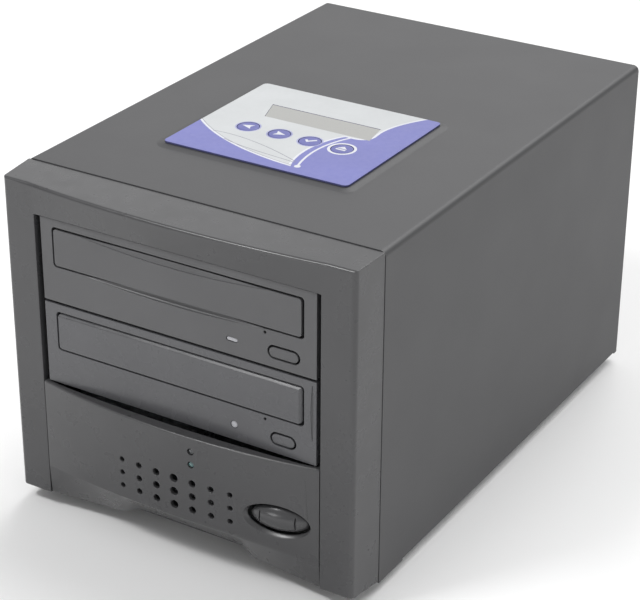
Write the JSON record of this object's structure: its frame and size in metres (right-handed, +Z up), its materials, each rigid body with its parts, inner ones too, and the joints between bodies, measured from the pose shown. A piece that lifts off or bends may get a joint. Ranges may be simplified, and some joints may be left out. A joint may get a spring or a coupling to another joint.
{
  "type": "disc duplicator tower",
  "caption": "Desktop optical disc duplicator: steel case, plastic bezel, stacked half-height tray drives, control panel on top, power supply and fan at the rear.",
  "frame": {"origin": "centre of the bounding box, on the plane that the rubber feet stand on", "axes": "+Z up, -Y out of the front where the trays open, +X to the right seen from the front"},
  "size_m": [0.191, 0.2946, 0.1751],
  "materials": {
    "powder_coat": "fine-textured charcoal powder coat on sheet steel",
    "bezel_plastic": "finely grained charcoal moulded ABS",
    "drive1_plastic": "finely grained charcoal moulded ABS",
    "drive2_plastic": "finely grained bluish charcoal moulded ABS",
    "zinc_steel": "zinc-plated sheet steel",
    "screw_steel": "nickel-plated pan-head screws",
    "foot_rubber": "matt black rubber",
    "black_plastic": "black moulded plastic",
    "tray_plastic": "matt black moulded plastic",
    "gear_plastic": "natural white acetal",
    "cast_sled": "die-cast zinc",
    "circuit_board": "green solder mask with black and pale components",
    "label_film": "printed polyester overlay, pale grey and violet",
    "key_film": "printed violet polyester key",
    "clear_lens": "clear light pipe",
    "white_lens": "milky light window",
    "teal_lens": "teal-tinted light pipe"
  },
  "bodies": {
    "root": {"case_cover": "powder_coat", "base_pan": "zinc_steel", "rear_panel": "powder_coat", "front_bezel": "bezel_plastic", "lower_panel": "bezel_plastic", "power_led": "teal_lens", "disc_led": "clear_lens", "drive_cage_left": "zinc_steel", "drive_cage_right": "zinc_steel", "foot_front_left": "foot_rubber", "foot_front_right": "foot_rubber", "foot_rear_left": "foot_rubber", "foot_rear_right": "foot_rubber", "cover_screw_1": "screw_steel", "cover_screw_2": "screw_steel", "cover_screw_3": "screw_steel", "cover_screw_4": "screw_steel", "psu_case": "zinc_steel", "power_inlet": "black_plastic", "rear_fan_frame": "black_plastic", "controller_board": "circuit_board", "lcd_module": "circuit_board", "control_label": "label_film", "drive1_bezel": "drive1_plastic", "drive1_shell": "zinc_steel", "drive1_cover": "zinc_steel", "drive1_board": "circuit_board", "drive1_loader_frame": "tray_plastic", "drive1_led": "white_lens", "drive1_clamp_bridge": "zinc_steel", "drive2_bezel": "drive2_plastic", "drive2_shell": "zinc_steel", "drive2_cover": "zinc_steel", "drive2_board": "circuit_board", "drive2_loader_frame": "tray_plastic", "drive2_led": "clear_lens", "drive2_clamp_bridge": "zinc_steel"},
    "tray1": {"drive1_tray": "tray_plastic", "drive1_tray_door": "drive1_plastic"},
    "gear1": {"drive1_load_gear": "gear_plastic"},
    "traverse1": {"drive1_traverse": "zinc_steel"},
    "turntable1": {"drive1_turntable": "black_plastic"},
    "sled1": {"drive1_laser_sled": "cast_sled"},
    "puck1": {"drive1_clamp_puck": "black_plastic"},
    "eject1": {"drive1_eject_button": "drive1_plastic"},
    "tray2": {"drive2_tray": "tray_plastic", "drive2_tray_door": "drive2_plastic"},
    "gear2": {"drive2_load_gear": "gear_plastic"},
    "traverse2": {"drive2_traverse": "zinc_steel"},
    "turntable2": {"drive2_turntable": "black_plastic"},
    "sled2": {"drive2_laser_sled": "cast_sled"},
    "puck2": {"drive2_clamp_puck": "black_plastic"},
    "eject2": {"drive2_eject_button": "drive2_plastic"},
    "power": {"power_button": "bezel_plastic"},
    "key_previous": {"key_previous": "key_film"},
    "key_next": {"key_next": "key_film"},
    "key_confirm": {"key_confirm": "key_film"},
    "key_back": {"key_back": "key_film"},
    "rear_fan": {"rear_fan_rotor": "black_plastic"},
    "psu_fan": {"psu_fan_rotor": "black_plastic"}
  },
  "joints": [
    {"name": "tray1_slide", "type": "slide", "parent": "root", "child": "tray1", "axis": [0, -1, 0], "range_m": [0, 0.14]},
    {"name": "gear1_spin", "type": "hinge", "parent": "root", "child": "gear1", "pos_m": [0.046, -0.12122, 0.1293], "axis": [0, 0, 1], "range_deg": [-810, 10]},
    {"name": "traverse1_tilt", "type": "hinge", "parent": "root", "child": "traverse1", "pos_m": [0, 0.00677, 0.1283], "axis": [1, 0, 0], "range_deg": [0, 4]},
    {"name": "disc1_spin", "type": "hinge", "parent": "traverse1", "child": "turntable1", "pos_m": [0, -0.06623, 0.1343], "axis": [0, 0, 1], "continuous": true},
    {"name": "sled1_slide", "type": "slide", "parent": "traverse1", "child": "sled1", "axis": [0, 1, 0], "range_m": [0, 0.03]},
    {"name": "puck1_spin", "type": "hinge", "parent": "root", "child": "puck1", "pos_m": [0, -0.06623, 0.1473], "axis": [0, 0, 1], "continuous": true},
    {"name": "eject1_press", "type": "slide", "parent": "root", "child": "eject1", "axis": [0, 1, 0], "range_m": [0, 0.001], "stiffness_N_per_m": 300},
    {"name": "tray2_slide", "type": "slide", "parent": "root", "child": "tray2", "axis": [0, -1, 0], "range_m": [0, 0.14]},
    {"name": "gear2_spin", "type": "hinge", "parent": "root", "child": "gear2", "pos_m": [0.046, -0.12122, 0.0861], "axis": [0, 0, 1], "range_deg": [-810, 10]},
    {"name": "traverse2_tilt", "type": "hinge", "parent": "root", "child": "traverse2", "pos_m": [0, 0.00677, 0.0851], "axis": [1, 0, 0], "range_deg": [0, 4]},
    {"name": "disc2_spin", "type": "hinge", "parent": "traverse2", "child": "turntable2", "pos_m": [0, -0.06623, 0.0911], "axis": [0, 0, 1], "continuous": true},
    {"name": "sled2_slide", "type": "slide", "parent": "traverse2", "child": "sled2", "axis": [0, 1, 0], "range_m": [0, 0.03]},
    {"name": "puck2_spin", "type": "hinge", "parent": "root", "child": "puck2", "pos_m": [0, -0.06623, 0.1041], "axis": [0, 0, 1], "continuous": true},
    {"name": "eject2_press", "type": "slide", "parent": "root", "child": "eject2", "axis": [0, 1, 0], "range_m": [0, 0.001], "stiffness_N_per_m": 300},
    {"name": "power_press", "type": "slide", "parent": "root", "child": "power", "axis": [0, 1, 0], "range_m": [0, 0.002], "stiffness_N_per_m": 400},
    {"name": "previous_press", "type": "slide", "parent": "root", "child": "key_previous", "axis": [0, 0, -1], "range_m": [0, 0.0005], "stiffness_N_per_m": 500},
    {"name": "next_press", "type": "slide", "parent": "root", "child": "key_next", "axis": [0, 0, -1], "range_m": [0, 0.0005], "stiffness_N_per_m": 500},
    {"name": "confirm_press", "type": "slide", "parent": "root", "child": "key_confirm", "axis": [0, 0, -1], "range_m": [0, 0.0005], "stiffness_N_per_m": 500},
    {"name": "back_press", "type": "slide", "parent": "root", "child": "key_back", "axis": [0, 0, -1], "range_m": [0, 0.0005], "stiffness_N_per_m": 500},
    {"name": "rear_fan_spin", "type": "hinge", "parent": "root", "child": "rear_fan", "pos_m": [-0.035, 0.12978, 0.117], "axis": [0, 1, 0], "continuous": true},
    {"name": "psu_fan_spin", "type": "hinge", "parent": "root", "child": "psu_fan", "pos_m": [0.008, 0.13478, 0.028], "axis": [0, 1, 0], "continuous": true}
  ],
  "couplings": [
    {"joint": "gear1_spin", "follows": "tray1_slide", "rad_per_m": -100},
    {"joint": "puck1_spin", "follows": "disc1_spin", "ratio": 1},
    {"joint": "gear2_spin", "follows": "tray2_slide", "rad_per_m": -100},
    {"joint": "puck2_spin", "follows": "disc2_spin", "ratio": 1}
  ]
}
